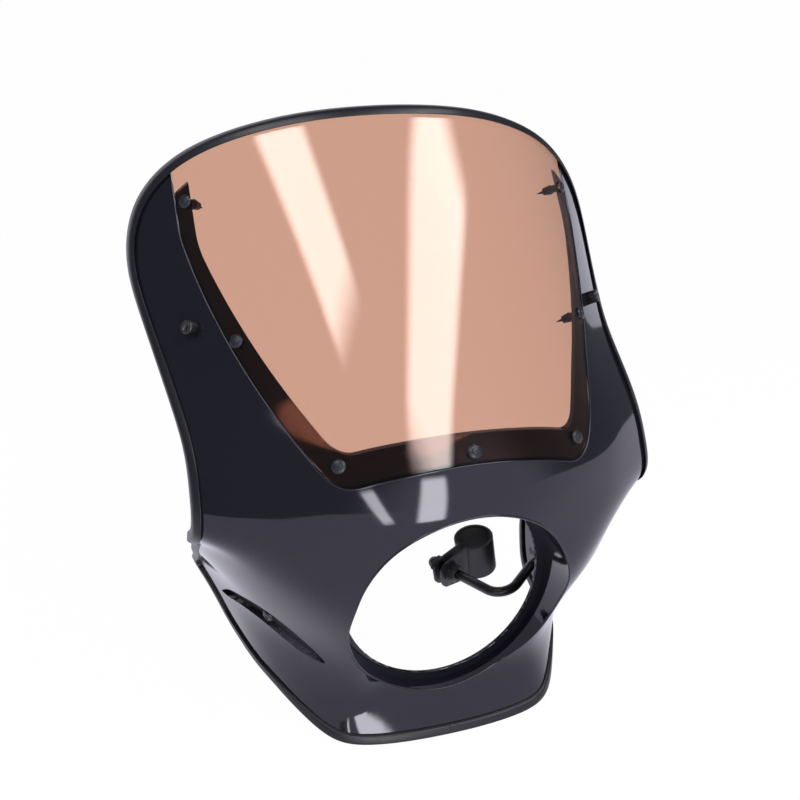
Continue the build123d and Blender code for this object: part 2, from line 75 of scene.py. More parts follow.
class Value:
    """A number that changes over a surface, with the operators that the finishes use."""

    def __init__(self, finish, socket):
        self.finish = finish
        self.socket = socket

    def math(self, operation, *inputs):
        made = self.finish.node("ShaderNodeMath", {"operation": operation}, dict(enumerate(inputs)))
        return Value(self.finish, made.outputs[0])

    def __add__(self, other):
        return self.math("ADD", self, other)

    def __mul__(self, other):
        return self.math("MULTIPLY", self, other)

    def __rsub__(self, other):
        return self.math("SUBTRACT", other, self)

    __radd__ = __add__
    __rmul__ = __mul__


class Finish:
    """A material, a world or a light, with the methods that add nodes to its tree."""

    def __init__(self, owner):
        self.owner = owner
        owner.use_nodes = True
        self.tree = owner.node_tree
        self.shader = self.tree.nodes.get("Principled BSDF")

    def node(self, kind, settings=None, sockets=None):
        made = self.tree.nodes.new(kind)
        for name, setting in (settings or {}).items():
            setattr(made, name, setting)
        for name, content in (sockets or {}).items():
            self.fill(made.inputs[name], content)
        return made

    def fill(self, socket, content):
        if isinstance(content, Value):
            content = content.socket
        if isinstance(content, bpy.types.NodeSocket):
            self.tree.links.new(content, socket)
        else:
            socket.default_value = content

    def noise(self, scale, detail=2.0):
        place = self.node("ShaderNodeTexCoord")
        sockets = {"Vector": place.outputs["Object"], "Scale": scale, "Detail": detail}
        return Value(self, self.node("ShaderNodeTexNoise", None, sockets).outputs[0])

    def grain(self, scale, depth):
        # fine bumps, such as moulded rubber and coated steel have
        sockets = {"Height": self.noise(scale), "Distance": depth, "Strength": 1.0}
        bumps = self.node("ShaderNodeBump", None, sockets)
        self.fill(self.shader.inputs["Normal"], bumps.outputs["Normal"])

    def wear(self, scale, spread):
        # patches a little duller and a little brighter than the rest
        socket = self.shader.inputs["Roughness"]
        self.fill(socket, socket.default_value - spread / 2 + spread * self.noise(scale))


def finish(name, colour, roughness, **sockets):
    made = Finish(bpy.data.materials.new(name))
    sockets |= {"Base_Color": (*colour, 1.0), "Roughness": roughness}
    for label, content in sockets.items():
        made.fill(made.shader.inputs[label.replace("_", " ")], content)
    return made


# %% [markdown]
# The shell is moulded black plastic with a high polish, so almost all that is seen of it is reflection.
# A very dark blue-black base and a low roughness give that. The screen is a clear sheet with an
# amber-brown tint, the edge trim satin rubber, and the small parts black plastic or coated steel. No
# real surface is the same all over, so all but the screen vary a little in roughness, and the rubbers
# and coatings have a grain.

# %% The finishes
LAVENDER = (0.92, 0.9, 1.0, 1.0)
gloss_black = finish("gloss_black", (0.007, 0.007, 0.011), 0.06, Specular_Tint=LAVENDER)
tinted_screen = finish("tinted_screen", (0.66, 0.37, 0.27), 0.0, Transmission_Weight=1.0, IOR=1.49)
trim_rubber = finish("trim_rubber", (0.009, 0.009, 0.013), 0.36, Specular_IOR_Level=0.32)
rivet_plastic = finish("rivet_plastic", (0.014, 0.015, 0.021), 0.34, Specular_IOR_Level=0.3)
# painted light: a base colour lighter than the shell's stands in for the light on the upturned groove
# floors; the higher roughness is the satin finish
groove_satin_painted_light = finish("groove_satin_painted_light", (0.02, 0.02, 0.026), 0.5, Specular_Tint=LAVENDER)
black_steel = finish("black_steel", (0.014, 0.014, 0.017), 0.36)
plated_steel = finish("plated_steel", (0.55, 0.55, 0.56), 0.3, Metallic=1.0)
soft_rubber = finish("soft_rubber", (0.012, 0.012, 0.012), 0.7)
# finish, patches per metre, spread of the roughness
WEAR = (
    (gloss_black, 60.0, 0.03),
    (trim_rubber, 150.0, 0.1),
    (rivet_plastic, 400.0, 0.12),
    (groove_satin_painted_light, 200.0, 0.15),
    (black_steel, 250.0, 0.15),
    (plated_steel, 500.0, 0.2),
    (soft_rubber, 200.0, 0.15),
)
# finish, bumps per metre, depth
GRAIN = (
    (trim_rubber, 900.0, 0.05 * MM),
    (groove_satin_painted_light, 1400.0, 0.03 * MM),
    (black_steel, 1500.0, 0.02 * MM),
    (soft_rubber, 1100.0, 0.05 * MM),
)
for made, scale, depth in GRAIN:
    made.grain(scale, depth)
for made, scale, spread in WEAR:
    made.wear(scale, spread)
FINISHES = {
    "gloss_black": gloss_black,
    "tinted_screen": tinted_screen,
    "trim_rubber": trim_rubber,
    "rivet_plastic": rivet_plastic,
    "black_steel": black_steel,
    "plated_steel": plated_steel,
    "soft_rubber": soft_rubber,
}
SLOTS = {part["node"]: part["material_slot"] for part in frame["record"]["subparts"]}
print("finishes:", ", ".join(FINISHES))

# %% [markdown]
# The visor, brow, cheeks and chin are one free-form skin, drawn as curves at fourteen heights and one
# smooth surface through them. Black gloss forgives nothing: triangles alone would show as ripples in
# every reflection. So the rule of the skin is written down again, and later each face that follows it
# takes its shading direction from the true surface.

# %% The skin as a rule
SCREEN_RAKE = 0.764
SCREEN_CURL = 0.0039
SCREEN_FOOT = (-46.0, 115.0)
VISOR_STATIONS = (53.0, 106.0, 150.0, 177.5, 204.0)
BROW_STATIONS = (51.0, 102.0, 144.0, 170.5, 196.0)


def visor_level(height, front, curl, stations=VISOR_STATIONS):
    return (height, front, *[(x, front + curl * x * x) for x in stations])


def screen_level(height):
    return visor_level(height, SCREEN_FOOT[0] + SCREEN_RAKE * (height - SCREEN_FOOT[1]), SCREEN_CURL)


# height, front y, then five points (x, y) out to the rear, in millimetres
SKIN_LEVELS = [
    screen_level(345),
    screen_level(240),
    screen_level(150),
    visor_level(111, -49, 0.0031),
    visor_level(88, -56, 0.0027),
    visor_level(72, -58, 0.0025, BROW_STATIONS),
    (58, -58.5, (54, -51), (106, -33), (150, -3), (170, 14), (188, 33)),
    (45, -58, (54, -51), (104, -35), (146, -1), (161, 17), (181, 41)),
    (25, -56, (53, -50), (96, -38), (137, 3), (155, 36), (174, 75)),
    (-10, -46, (52, -42), (88, -28), (129, 24), (146, 69), (164, 128)),
    (-45, -26, (50, -25), (80, -16), (122, 41), (139, 102), (156, 175)),
    (-74, -15, (52, -14.5), (81, -9.5), (119, 41), (132, 100), (147, 174)),
    (-104, -27, (60, -24), (91, -11), (118, 42), (129, 100), (141, 173)),
    (-130, -34, (63, -30), (96, -12), (118, 42), (127, 100), (137, 173)),
]


def unit(vectors):
    return vectors / np.linalg.norm(vectors, axis=1, keepdims=True)


def mean_shares(curves):
    # how far along each point lies, as a share of the length, averaged over the curves
    steps = np.linalg.norm(np.diff(curves, axis=1), axis=2)
    run = np.concatenate([np.zeros((len(steps), 1)), np.cumsum(steps, axis=1)], axis=1)
    return (run / run[:, -1:]).mean(0)


def end_slope(shares, points):
    # the slope at the first point of the cubic through the first four
    near = shares[:4] - shares[0]
    powers = np.vander(near, 4, increasing=True)
    flat = points[:4].reshape(4, -1)
    return np.linalg.solve(powers, flat)[1].reshape(points.shape[1:])


def spline(shares, points, at):
    # a smooth cubic curve through the points, read at other shares of its length
    count = len(shares)
    gaps = np.diff(shares)
    matrix = np.eye(count)
    right = np.zeros_like(points)
    right[0] = end_slope(shares, points)
    right[-1] = -end_slope(shares[-1] - shares[::-1], points[::-1])
    for i in range(1, count - 1):
        before, after = gaps[i - 1], gaps[i]
        matrix[i, i - 1:i + 2] = after, 2 * (before + after), before
        rise_before, rise_after = points[i] - points[i - 1], points[i + 1] - points[i]
        right[i] = 3 * (before * rise_after / after + after * rise_before / before)
    slopes = np.linalg.solve(matrix, right.reshape(count, -1)).reshape(points.shape)
    k = np.clip(np.searchsorted(shares, at, side="right") - 1, 0, count - 2)
    shape = (-1,) + (1,) * (points.ndim - 1)
    u = ((at - shares[k]) / gaps[k]).reshape(shape)
    gap = gaps[k].reshape(shape)
    start = (1 + 2 * u) * (1 - u) ** 2 * points[k] + u * (1 - u) ** 2 * gap * slopes[k]
    end = u ** 2 * (3 - 2 * u) * points[k + 1] + u ** 2 * (u - 1) * gap * slopes[k + 1]
    return start + end


def make_skin(count):
    rows = []
    for height, front, *half in SKIN_LEVELS:
        right = [(x, y, height) for x, y in half]
        left = [(-x, y, height) for x, y in reversed(half)]
        rows.append(left + [(0, front, height)] + right)
    grid = np.array(rows, float) * MM
    across = mean_shares(grid)
    down = mean_shares(grid.transpose(1, 0, 2))
    steps = np.linspace(0, 1, count)
    fine_rows = spline(across, grid.transpose(1, 0, 2), steps)
    return spline(down, fine_rows.transpose(1, 0, 2), steps)


SKIN_SAMPLES = 401
SKIN = make_skin(SKIN_SAMPLES)
SKIN_ACROSS = np.gradient(SKIN, axis=1)
SKIN_DOWN = np.gradient(SKIN, axis=0)
SKIN_NORMAL = np.cross(SKIN_DOWN, SKIN_ACROSS)
SKIN_NORMAL /= np.linalg.norm(SKIN_NORMAL, axis=2, keepdims=True)
TURN_ACROSS = np.gradient(SKIN_NORMAL, axis=1)
TURN_DOWN = np.gradient(SKIN_NORMAL, axis=0)


def search_tree(points):
    tree = kdtree.KDTree(len(points))
    for index, spot in enumerate(points):
        tree.insert(spot, index)
    tree.balance()
    return tree


def gaps_to(tree, points):
    # how far each point is from its nearest neighbour in the tree
    return np.array([tree.find(spot)[2] for spot in points])


skin_tree = search_tree(SKIN.reshape(-1, 3))
print("skin sampled at", SKIN_SAMPLES, "by", SKIN_SAMPLES, "points")


def nearest_samples(points):
    return np.divmod([skin_tree.find(spot)[1] for spot in points], SKIN_SAMPLES)


def skin_normals(points):
    """The skin's outward directions under the points: the nearest sample's and a step along it."""
    row, column = nearest_samples(points)
    reach = points - SKIN[row, column]
    across, down = SKIN_ACROSS[row, column], SKIN_DOWN[row, column]
    gram = np.stack([across, down], axis=1)
    steps = np.linalg.solve(gram @ gram.transpose(0, 2, 1), gram @ reach[:, :, None])[:, :, 0]
    turn = steps[:, :1] * TURN_ACROSS[row, column] + steps[:, 1:] * TURN_DOWN[row, column]
    return unit(SKIN_NORMAL[row, column] + turn)


# %% [markdown]
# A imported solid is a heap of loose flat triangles. A copy with its doubles merged can be shaded smooth,
# with sharp edges kept where two faces meet at more than a given angle. On the shell and the screen the
# triangles then take their shading directions from rules: the skin, the bent screen, the round tunnel
# and the flat lip. A rule gives no direction where it does not hold.

# %% Smooth copies of the solids
MERGE_REACH = 0.004 * MM
CREASE = math.radians(32)
SKIN_LIKE = 0.9
SHELL_WALL = 3 * MM
TUNNEL_RADIUS = 82 * MM
TUNNEL_RADII = (TUNNEL_RADIUS, TUNNEL_RADIUS + SHELL_WALL)
LIP_LEVELS = (0.0, -3 * MM)
ROUND_REACH = 0.25 * MM
SHEET_REACH = 10 * MM


def read(collection, name, width):
    values = np.empty(len(collection) * width, np.float32)
    collection.foreach_get(name, values)
    return values.reshape(-1, width).astype(float)


def screen_normals(points):
    # the screen is a flat sheet bent one way: it leans back, and each level of it is the same parabola
    slope = 2 * SCREEN_CURL * points[:, 0] / MM
    return unit(np.stack([slope, np.full(len(points), -1.0), np.full(len(points), SCREEN_RAKE)], axis=1))


def sheet_normals(points):
    # the skin's directions near the skin, nothing elsewhere
    near = gaps_to(skin_tree, points) < SHEET_REACH
    return skin_normals(points) * near[:, None]


def at_any(values, levels):
    # where a value lies at one of the levels
    return np.any([np.abs(values - level) < ROUND_REACH for level in levels], axis=0)


def tunnel_normals(points):
    # straight out from the tunnel's middle line on its two walls, nothing elsewhere
    reach = np.hypot(points[:, 0], points[:, 2])
    on_wall = at_any(reach, TUNNEL_RADII)
    spread = points * (1.0, 0.0, 1.0) / np.maximum(reach, MM)[:, None]
    return spread * on_wall[:, None]


def lip_normals(points):
    # straight ahead on the flat faces of the tunnel's lip, nothing elsewhere
    on_lip = at_any(points[:, 1], LIP_LEVELS)
    on_lip &= np.hypot(points[:, 0], points[:, 2]) < TUNNEL_RADII[1] + ROUND_REACH
    return np.array((0.0, 1.0, 0.0)) * on_lip[:, None]


def follow_rule(data, normals_of):
    # faces that run along a rule's surface, on either side of it, take its directions
    places = read(data.vertices, "co", 3)
    corners = np.empty(len(data.loops), np.int32)
    data.loops.foreach_get("vertex_index", corners)
    faces = np.repeat(read(data.polygons, "normal", 3), 3, axis=0)
    normals = read(data.corner_normals, "vector", 3)
    wanted = normals_of(places)[corners]
    agree = (wanted * faces).sum(1)
    along = np.abs(agree) > SKIN_LIKE
    normals[along] = wanted[along] * np.sign(agree[along])[:, None]
    data.normals_split_custom_set(normals.tolist())
    return along.mean()


RULES = {"cowl_shell": (sheet_normals, tunnel_normals, lip_normals), "windscreen": (screen_normals,)}


def merged(node):
    mesh = bmesh.new()
    mesh.from_mesh(frame["nodes"][node].data)
    bmesh.ops.remove_doubles(mesh, verts=mesh.verts, dist=MERGE_REACH)
    return mesh


def add_object(name, data):
    piece = bpy.data.objects.new(name, data)
    scene.collection.objects.link(piece)
    return piece


def smooth_copy(node):
    mesh = merged(node)
    data = bpy.data.meshes.new(node + "_dressed")
    mesh.to_mesh(data)
    mesh.free()
    data.materials.clear()
    data.materials.append(FINISHES[SLOTS[node]].owner)
    data.shade_smooth()
    data.set_sharp_from_angle(angle=CREASE)
    for rule in RULES.get(node, ()):
        print(node, "takes", rule.__name__, "on", round(follow_rule(data, rule), 2), "of its corners")
    return add_object(node + "_dressed", data)


def settle(piece, *nodes):
    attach(piece, "root")
    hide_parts(*nodes)


MADE_ANEW = ("edge_trim", "screen_rivet_bodies", "screen_rivet_pins")
for node in frame["nodes"]:
    if node in MADE_ANEW:
        continue
    piece = smooth_copy(node)
    settle(piece, node)
    print(node, "has", len(piece.data.polygons), "triangles")

# %% [markdown]
# The grooves under the cheeks are part of the same moulding. Their floors face up and out, so the light
# on them makes them look grey and soft beside the gloss. Faces that lie deep under the skin, in the
# cheeks, get
# a satin finish: a rougher surface, and a base colour lighter than the shell's, which is painted light.

# %% The satin grooves and their painted light
GROOVE_INNER = 78 * MM
GROOVE_SPAN_Y = (-10 * MM, 115 * MM)
GROOVE_SPAN_Z = (-60 * MM, -8 * MM)
GROOVE_DEPTHS = (0.4 * MM, 5.6 * MM)


def skin_depth(points):
    row, column = nearest_samples(points)
    return ((SKIN[row, column] - points) * SKIN_NORMAL[row, column]).sum(1)


shell = bpy.data.objects["cowl_shell_dressed"]
shell.data.materials.append(groove_satin_painted_light.owner)
middles = read(shell.data.polygons, "center", 3)
depths = skin_depth(middles)
in_groove = np.abs(middles[:, 0]) > GROOVE_INNER
for axis, (least, most) in ((1, GROOVE_SPAN_Y), (2, GROOVE_SPAN_Z)):
    in_groove &= (middles[:, axis] > least) & (middles[:, axis] < most)
in_groove &= (depths > GROOVE_DEPTHS[0]) & (depths < GROOVE_DEPTHS[1])
# these faces take the satin finish, whose lighter base colour is painted light
shell.data.polygons.foreach_set("material_index", in_groove.astype(np.int32))
print("groove faces:", int(in_groove.sum()))

# %% [markdown]
# The edge trim is a soft rubber channel pushed over the edge all the way round, slit under the chin. It
# is one section carried along one path, so it is swept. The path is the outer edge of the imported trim,
# read from its mesh: where a face that runs along the skin meets the outer wall. It is spaced evenly
# and smoothed a little, as rubber does at a corner. The section leans with the wall of the edge that it
# covers.

# %% The path of the edge trim
TRIM_WEB = 2.2 * MM
TRIM_LEG = 4.5 * MM
TRIM_SKIN = 2.0 * MM
TRIM_DEPTH = SHELL_WALL + 2 * TRIM_SKIN
TRIM_JOINT = 0.4 * MM
TRIM_STEP = 1.5 * MM
TRIM_EASE = 2.5 * MM
WEIGHT_REACH = 3


def chains(pairs):
    # order edges, given as pairs of points, into open or closed runs
    links = {}
    for a, b in pairs:
        links.setdefault(a, []).append(b)
        links.setdefault(b, []).append(a)
    runs = []
    loose = set(links)
    while loose:
        ends = [point for point in loose if len(links[point]) == 1]
        here = min(ends or loose)
        run = [here]
        loose.discard(here)
        while True:
            onward = [point for point in links[here] if point in loose]
            if not onward:
                break
            here = onward[0]
            run.append(here)
            loose.discard(here)
        runs.append(run)
    return runs


def skin_edges(node, leave_out=None):
    # runs of edges between a face along the skin and a wall, shortest first, with the walls' directions
    mesh = merged(node)
    mesh.normal_update()
    middle = np.array([face.calc_center_median() for face in mesh.faces])
    flat = np.array([face.normal for face in mesh.faces])
    agree = (skin_normals(middle) * flat).sum(1)
    places = np.array([vertex.co for vertex in mesh.verts])
    walls = np.zeros_like(places)
    pairs = []
    for edge in mesh.edges:
        if len(edge.link_faces) != 2:
            continue
        top, wall = sorted(edge.link_faces, key=lambda face: -agree[face.index])
        if agree[top.index] < SKIN_LIKE or abs(agree[wall.index]) > SKIN_LIKE:
            continue
        pair = [vertex.index for vertex in edge.verts]
        if leave_out and leave_out(places[pair]):
            continue
        pairs.append(pair)
        walls[pair] += flat[wall.index]
    mesh.free()
    runs = [np.array(run) for run in chains(pairs)]
    runs.sort(key=lambda run: np.linalg.norm(np.diff(places[run], axis=0), axis=1).sum())
    return [(places[run], walls[run]) for run in runs]


def even(points, values, step):
    # both lists at even steps along the points
    run = np.concatenate([[0], np.cumsum(np.linalg.norm(np.diff(points, axis=0), axis=1))])
    at = np.linspace(0, run[-1], int(run[-1] / step))
    return [np.array([np.interp(at, run, column) for column in table.T]).T for table in (points, values)]


def ease(values, reach):
    # a running mean with soft weights, ends kept
    half = int(WEIGHT_REACH * reach)
    weights = np.exp(-0.5 * (np.arange(-half, half + 1) / reach) ** 2)
    weights /= weights.sum()
    padded = np.concatenate([
        2 * values[0] - values[half:0:-1], values, 2 * values[-1] - values[-2:-half - 2:-1],
    ])
    return np.stack([np.convolve(column, weights, mode="valid") for column in padded.T], axis=1)


def at_joint(places):
    return np.all(np.abs(places[:, 0]) < TRIM_JOINT) and places[0, 2] < 0


edge_points, edge_walls = even(*skin_edges("edge_trim", at_joint)[-1], TRIM_STEP)
trim_path = ease(edge_points, TRIM_EASE / TRIM_STEP)
trim_walls = unit(ease(unit(edge_walls), 2 * TRIM_EASE / TRIM_STEP))
print("trim path:", len(trim_path), "points")

# %% [markdown]
# The section has a rounded back and two rounded lips. Each point of it is a distance inwards from the
# outer edge and a depth under the top, so the sweep is one sum of arrays: path, minus inwards, plus
# depth.

# %% The edge trim
BACK_ROUND = 2.4 * MM
LIP_ROUND = 0.9 * MM
ROUND_STEPS = 5
TRIM_WIDTH = TRIM_WEB + TRIM_LEG
TRIM_CREASE = math.radians(50)


def rounded(corners):
    # a closed outline with each corner (inwards, depth, radius) turned into an arc
    spots = [np.array(corner[:2]) for corner in corners]
    outline = []
    for index, corner in enumerate(corners):
        spot, radius = spots[index], corner[2]
        before = spots[index - 1] - spot
        after = spots[(index + 1) % len(spots)] - spot
        start = spot + before / np.linalg.norm(before) * radius
        end = spot + after / np.linalg.norm(after) * radius
        for share in np.linspace(0, 1, ROUND_STEPS if radius else 1):
            bend = (1 - share) ** 2 * start + 2 * share * (1 - share) * spot + share ** 2 * end
            outline.append(bend)
    return np.array(outline)


under_top, above_end = TRIM_SKIN, TRIM_DEPTH - TRIM_SKIN
section = rounded([
    (0.0, 0.0, BACK_ROUND),
    (TRIM_WIDTH, 0.0, LIP_ROUND),
    (TRIM_WIDTH, under_top, 0.0),
    (TRIM_WEB, under_top, 0.0),
    (TRIM_WEB, above_end, 0.0),
    (TRIM_WIDTH, above_end, 0.0),
    (TRIM_WIDTH, TRIM_DEPTH, LIP_ROUND),
    (0.0, TRIM_DEPTH, BACK_ROUND),
])


def tube(name, points):
    # a closed skin over rings of points, one ring for each row, with a face on each end
    rings, round_count = points.shape[:2]
    index = np.arange(rings * round_count).reshape(rings, round_count)
    along = np.roll(index, -1, axis=1)
    faces = np.stack([index[:-1], index[1:], along[1:], along[:-1]], axis=2).reshape(-1, 4).tolist()
    faces += [index[0].tolist(), index[-1, ::-1].tolist()]
    data = bpy.data.meshes.new(name)
    data.from_pydata(points.reshape(-1, 3).tolist(), [], faces)
    return data


def sweep_trim(name):
    ups = unit(ease(skin_normals(trim_path), TRIM_EASE / TRIM_STEP))
    ways = unit(np.gradient(trim_path, axis=0))
    outwards = unit(np.cross(ways, ups))
    outwards *= np.sign((outwards * trim_walls).sum(1).mean())
    downs = unit(np.cross(trim_walls, ways))
    downs *= -np.sign((downs * ups).sum(1))[:, None]
    downs /= np.abs((downs * ups).sum(1))[:, None]
    inwards, depth = section.T[:, None, :, None]
    data = tube(name, trim_path[:, None] - inwards * outwards[:, None] + depth * downs[:, None])
    mesh = bmesh.new()
    mesh.from_mesh(data)
    bmesh.ops.recalc_face_normals(mesh, faces=mesh.faces)
    mesh.to_mesh(data)
    mesh.free()
    data.materials.append(trim_rubber.owner)
    data.shade_smooth()
    data.set_sharp_from_angle(angle=TRIM_CREASE)
    return add_object(name, data)


trim = sweep_trim("edge_trim_dressed")
settle(trim, "edge_trim")
print("edge trim:", len(trim.data.polygons), "faces")

# %% [markdown]
# Moulded edges are never knife sharp. The rim of the screen's recess and the front rim of the headlight
# tunnel each catch a thin line of light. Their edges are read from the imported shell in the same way,
# and a small Geometry Nodes tree lays a thin round bead along each, sunk so far that only its rounded
# side shows.

# %% The tree that lays a bead along a path
def bead_tree():
    tree = bpy.data.node_groups.new("bead_along_path", "GeometryNodeTree")
    for name, kind in (("Path", "NodeSocketGeometry"), ("Radius", "NodeSocketFloat"),
                       ("Sides", "NodeSocketInt"), ("Finish", "NodeSocketMaterial")):
        tree.interface.new_socket(name, in_out="INPUT", socket_type=kind)
    tree.interface.new_socket("Bead", in_out="OUTPUT", socket_type="NodeSocketGeometry")
    enter = tree.nodes.new("NodeGroupInput")
    leave = tree.nodes.new("NodeGroupOutput")
    line = tree.nodes.new("GeometryNodeMeshToCurve")
    ring = tree.nodes.new("GeometryNodeCurvePrimitiveCircle")
    sweep = tree.nodes.new("GeometryNodeCurveToMesh")
    sweep.inputs["Fill Caps"].default_value = True
    smooth = tree.nodes.new("GeometryNodeSetShadeSmooth")
    real = tree.nodes.new("GeometryNodeRealizeInstances")
    paint = tree.nodes.new("GeometryNodeSetMaterial")
    for out, into in (
        (enter.outputs["Path"], line.inputs["Mesh"]),
        (enter.outputs["Radius"], ring.inputs["Radius"]),
        (enter.outputs["Sides"], ring.inputs["Resolution"]),
        (line.outputs["Curve"], sweep.inputs["Curve"]),
        (ring.outputs["Curve"], sweep.inputs["Profile Curve"]),
        (sweep.outputs["Mesh"], smooth.inputs["Geometry"]),
        (smooth.outputs["Geometry"], real.inputs["Geometry"]),
        (real.outputs["Geometry"], paint.inputs["Geometry"]),
        (enter.outputs["Finish"], paint.inputs["Material"]),
        (paint.outputs["Geometry"], leave.inputs["Bead"]),
    ):
        tree.links.new(out, into)
    return tree


def grow(piece, tree, values):
    # run a tree on a piece and keep the result as its plain mesh
    modifier = piece.modifiers.new(tree.name, "NODES")
    modifier.node_group = tree
    for item in tree.interface.items_tree:
        if item.name in values:
            modifier[item.identifier] = values[item.name]
    graph = bpy.context.evaluated_depsgraph_get()
    made = bpy.data.meshes.new_from_object(piece.evaluated_get(graph))
    piece.modifiers.remove(modifier)
    piece.data = made


# %% The rounded rims
BEAD = bead_tree()
BEAD_RADIUS = 0.8 * MM
BEAD_SINK = 0.45 * MM
BEAD_SIDES = 12
RIM_DEPTH = 1.2 * MM
FEWEST_POINTS = 20
TUNNEL_NEAR = 1 * MM
RECESS_FOOT = 116 * MM
RECESS_NEAR = 3 * MM
TRIM_CLEAR = 9 * MM


def is_tunnel_rim(points):
    reach = np.hypot(points[:, 0], points[:, 2])
    return np.all(np.abs(reach - TUNNEL_RADIUS) < TUNNEL_NEAR) and len(points) > FEWEST_POINTS


def is_recess_rim(points):
    reach = np.hypot(points[:, 0], points[:, 2] - RECESS_FOOT)
    return reach.min() < RECESS_NEAR and len(points) > FEWEST_POINTS


def away_from_trim(points, directions):
    # the one stretch of a closed run that the edge trim does not cover
    clear = gaps_to(search_tree(trim_path), points) > TRIM_CLEAR
    first = np.flatnonzero(clear & ~np.roll(clear, 1))[0]
    count = int(clear.sum())
    return [np.roll(table, -first, axis=0)[:count] for table in (points, directions)]


def closed(points, directions):
    return [np.vstack([table, table[:1]]) for table in (points, directions)]


def rim_bead(name, points, directions):
    spots, ways = even(points, unit(directions), TRIM_STEP)
    spots = ease(spots, TRIM_EASE / TRIM_STEP)
    spots = spots - BEAD_SINK * (skin_normals(spots) + unit(ease(ways, TRIM_EASE / TRIM_STEP)))
    data = bpy.data.meshes.new(name)
    data.from_pydata(spots.tolist(), [(k, k + 1) for k in range(len(spots) - 1)], [])
    piece = add_object(name, data)
    grow(piece, BEAD, {"Radius": BEAD_RADIUS, "Sides": BEAD_SIDES, "Finish": gloss_black.owner})
    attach(piece, "root")
    print(name, "follows", len(spots), "points")


for points, directions in skin_edges("cowl_shell"):
    if np.median(np.abs(skin_depth(points))) > RIM_DEPTH:
        continue
    if is_tunnel_rim(points):
        rim_bead("tunnel_rim_round", *closed(points, directions))
    elif is_recess_rim(points):
        rim_bead("recess_rim_round", *away_from_trim(points, directions))

# %% [markdown]
# Seven push rivets hold the screen: a wide flat head with a split shank, and a pin whose disc stands on
# the head. One of each is turned on a lathe, as a ring of points for each point of its outline, and a
# small Geometry Nodes tree sets a copy on every seat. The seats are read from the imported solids: the
# middle line of each one and its top.

# %% The seats of the rivets
LATHE_SIDES = 40
LATHE_CREASE = math.radians(40)


def islands(node):
    # the corners of each separate solid in a node
    mesh = merged(node)
    loose = set(mesh.verts)
    found = []
    while loose:
        heap = [loose.pop()]
        group = []
        while heap:
            vertex = heap.pop()
            group.append(tuple(vertex.co))
            for edge in vertex.link_edges:
                other = edge.other_vert(vertex)
                if other in loose:
                    loose.discard(other)
                    heap.append(other)
        found.append(np.array(group))
    mesh.free()
    return found


def seats(node):
    # for each solid, the top of its middle line and the direction that it faces
    solids = islands(node)
    facings = skin_normals(np.array([(points.min(0) + points.max(0)) / 2 for points in solids]))
    tops = []
    for points, facing in zip(solids, facings):
        middle = points.mean(0)
        tops.append(middle + facing * ((points - middle) @ facing).max())
    return np.array(tops), facings


def lathe(name, outline):
    # outline: (radius, height) in millimetres, from the middle of the top to the middle of the end
    turns = np.linspace(0, 2 * math.pi, LATHE_SIDES, endpoint=False)
    rings = [(r * np.cos(turns), r * np.sin(turns), np.full(LATHE_SIDES, h)) for r, h in outline]
    data = tube(name, np.array(rings).transpose(0, 2, 1) * MM)
    data.shade_smooth()
    data.set_sharp_from_angle(angle=LATHE_CREASE)
    return bpy.data.objects.new(name, data)


# %% The tree that sets copies on seats
def copies_tree():
    tree = bpy.data.node_groups.new("copies_on_seats", "GeometryNodeTree")
    for name, kind in (("Seats", "NodeSocketGeometry"), ("Pattern", "NodeSocketObject"),
                       ("Finish", "NodeSocketMaterial")):
        tree.interface.new_socket(name, in_out="INPUT", socket_type=kind)
    tree.interface.new_socket("Copies", in_out="OUTPUT", socket_type="NodeSocketGeometry")
    enter = tree.nodes.new("NodeGroupInput")
    leave = tree.nodes.new("NodeGroupOutput")
    facing = tree.nodes.new("GeometryNodeInputNamedAttribute")
    facing.data_type = "FLOAT_VECTOR"
    facing.inputs["Name"].default_value = "facing"
    turn = tree.nodes.new("FunctionNodeAlignRotationToVector")
    turn.axis = "Z"
    pattern = tree.nodes.new("GeometryNodeObjectInfo")
    copy = tree.nodes.new("GeometryNodeInstanceOnPoints")
    real = tree.nodes.new("GeometryNodeRealizeInstances")
    paint = tree.nodes.new("GeometryNodeSetMaterial")
    for out, into in (
        (facing.outputs["Attribute"], turn.inputs["Vector"]),
        (enter.outputs["Pattern"], pattern.inputs["Object"]),
        (enter.outputs["Seats"], copy.inputs["Points"]),
        (pattern.outputs["Geometry"], copy.inputs["Instance"]),
        (turn.outputs["Rotation"], copy.inputs["Rotation"]),
        (copy.outputs["Instances"], real.inputs["Geometry"]),
        (real.outputs["Geometry"], paint.inputs["Geometry"]),
        (enter.outputs["Finish"], paint.inputs["Material"]),
        (paint.outputs["Geometry"], leave.inputs["Copies"]),
    ):
        tree.links.new(out, into)
    return tree


COPIES = copies_tree()


def set_copies(name, node, pattern):
    tops, facings = seats(node)
    data = bpy.data.meshes.new(name + "_seats")
    data.from_pydata(tops.tolist(), [], [])
    data.attributes.new("facing", "FLOAT_VECTOR", "POINT").data.foreach_set("vector", facings.ravel())
    piece = add_object(name, data)
    grow(piece, COPIES, {"Pattern": pattern, "Finish": FINISHES[SLOTS[node]].owner})
    settle(piece, node)
    print(name, "has", len(tops), "copies and", len(piece.data.polygons), "faces")


# %% [markdown]
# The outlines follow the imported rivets, with the corners of the head eased as moulded plastic has them.

